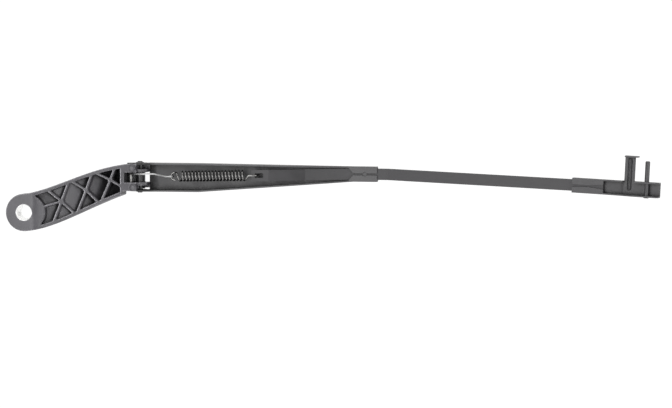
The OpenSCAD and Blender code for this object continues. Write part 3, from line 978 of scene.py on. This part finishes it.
def white_room(scene, strength):
    """Even light from all round, and plain white where the room itself is seen."""
    world = bpy.data.worlds.new("white_room")
    scene.world = world
    world.use_nodes = True
    tree = world.node_tree
    tree.nodes.clear()
    lit = add(tree, "ShaderNodeBackground", (0, 0))
    white = add(tree, "ShaderNodeBackground", (0, -200))
    for sky, power in ((lit, strength), (white, 1.0)):
        sky.inputs["Color"].default_value = (1.0, 1.0, 1.0, 1.0)
        sky.inputs["Strength"].default_value = power
    sink = add(tree, "ShaderNodeOutputWorld", (450, 0))
    white_where_seen(tree, lit.outputs["Background"], white.outputs["Background"], sink)


def studio_floor(scene, height):
    """White sheet under the arm that glows where it is seen and keeps a trace of shadow."""
    half = FLOOR_HALF
    corners = [(-half, -half, 0), (half, -half, 0), (half, half, 0), (-half, half, 0)]
    mesh = bpy.data.meshes.new("studio_floor")
    mesh.from_pydata(corners, [], [(0, 1, 2, 3)])
    floor = bpy.data.objects.new("studio_floor", mesh)
    scene.collection.objects.link(floor)
    floor.location = (0.26, 0.0, height)
    mat = bpy.data.materials.new("floor_white")
    mat.use_nodes = True
    tree = mat.node_tree
    tree.nodes.clear()
    matte = add(tree, "ShaderNodeBsdfDiffuse", (0, 0))
    matte.inputs["Color"].default_value = (0.8, 0.8, 0.8, 1.0)
    glow = add(tree, "ShaderNodeEmission", (0, -200))
    glow.inputs["Strength"].default_value = 1.08
    shaded = add(tree, "ShaderNodeMixShader", (150, -300))
    shaded.inputs["Fac"].default_value = 0.2
    tree.links.new(glow.outputs["Emission"], shaded.inputs[1])
    tree.links.new(matte.outputs["BSDF"], shaded.inputs[2])
    sink = add(tree, "ShaderNodeOutputMaterial", (450, 0))
    white_where_seen(tree, matte.outputs["BSDF"], shaded.outputs["Shader"], sink)
    mesh.materials.append(mat)
    return floor


class WIPER_OT_stage(bpy.types.Operator):
    """Set the camera, the lamps, the white room and the floor"""

    bl_idname = "wiper.stage"
    bl_label = "Set the stage"

    def execute(self, context):
        scene, stage = context.scene, context.scene.wiper_stage
        scene.view_settings.view_transform = "Standard"
        photo_camera(scene, stage.lens)
        white_room(scene, stage.sky)
        floor = studio_floor(scene, stage.drop)
        key = lamp("key_lamp", (-0.1, -0.05, 1.4), (0.1, 0.0, -0.05), (1.3, 0.7), stage.key)
        near = lamp("near_lamp", (0.27, -1.2, 0.5), ARM_MIDDLE, (1.6, 0.5), stage.fill)
        back = lamp("back_lamp", (0.27, 1.3, 0.35), ARM_MIDDLE, (1.6, 0.5), stage.fill)
        side = lamp("side_lamp", (1.25, 0.0, 0.55), (0.08, 0.0, -0.03), (0.6, 0.8), stage.fill * 0.8)
        return {"FINISHED"}


class WIPER_PT_panel(bpy.types.Panel):
    """Settings and steps of the wiper arm's dressing"""

    bl_idname = "WIPER_PT_panel"
    bl_label = "Wiper arm"
    bl_space_type = "VIEW_3D"
    bl_region_type = "UI"
    bl_category = "Wiper arm"

    def draw(self, context):
        layout = self.layout
        for group in (context.scene.wiper_paint, context.scene.wiper_shape, context.scene.wiper_stage):
            box = layout.box()
            for name in group.__annotations__:
                box.prop(group, name)
        for step in STEPS:
            layout.operator(step.bl_idname)


SETTINGS = (
    ("wiper_paint", WiperPaintSettings),
    ("wiper_shape", WiperShapeSettings),
    ("wiper_stage", WiperStageSettings),
)
STEPS = (
    WIPER_OT_casting,
    WIPER_OT_channel,
    WIPER_OT_bar,
    WIPER_OT_holder,
    WIPER_OT_hinge_steel,
    WIPER_OT_spring,
    WIPER_OT_stage,
)


def register():
    for name, group in SETTINGS:
        bpy.utils.register_class(group)
        setattr(bpy.types.Scene, name, PointerProperty(type=group))
    for step in STEPS:
        bpy.utils.register_class(step)
    bpy.utils.register_class(WIPER_PT_panel)


def unregister():
    bpy.utils.unregister_class(WIPER_PT_panel)
    for step in reversed(STEPS):
        bpy.utils.unregister_class(step)
    for name, group in reversed(SETTINGS):
        delattr(bpy.types.Scene, name)
        bpy.utils.unregister_class(group)


def main():
    register()
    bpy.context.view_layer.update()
    bpy.ops.wiper.casting()
    bpy.ops.wiper.channel()
    bpy.ops.wiper.bar()
    bpy.ops.wiper.holder()
    bpy.ops.wiper.hinge_steel()
    bpy.ops.wiper.spring()
    bpy.ops.wiper.stage()


if __name__ == "__main__":
    main()
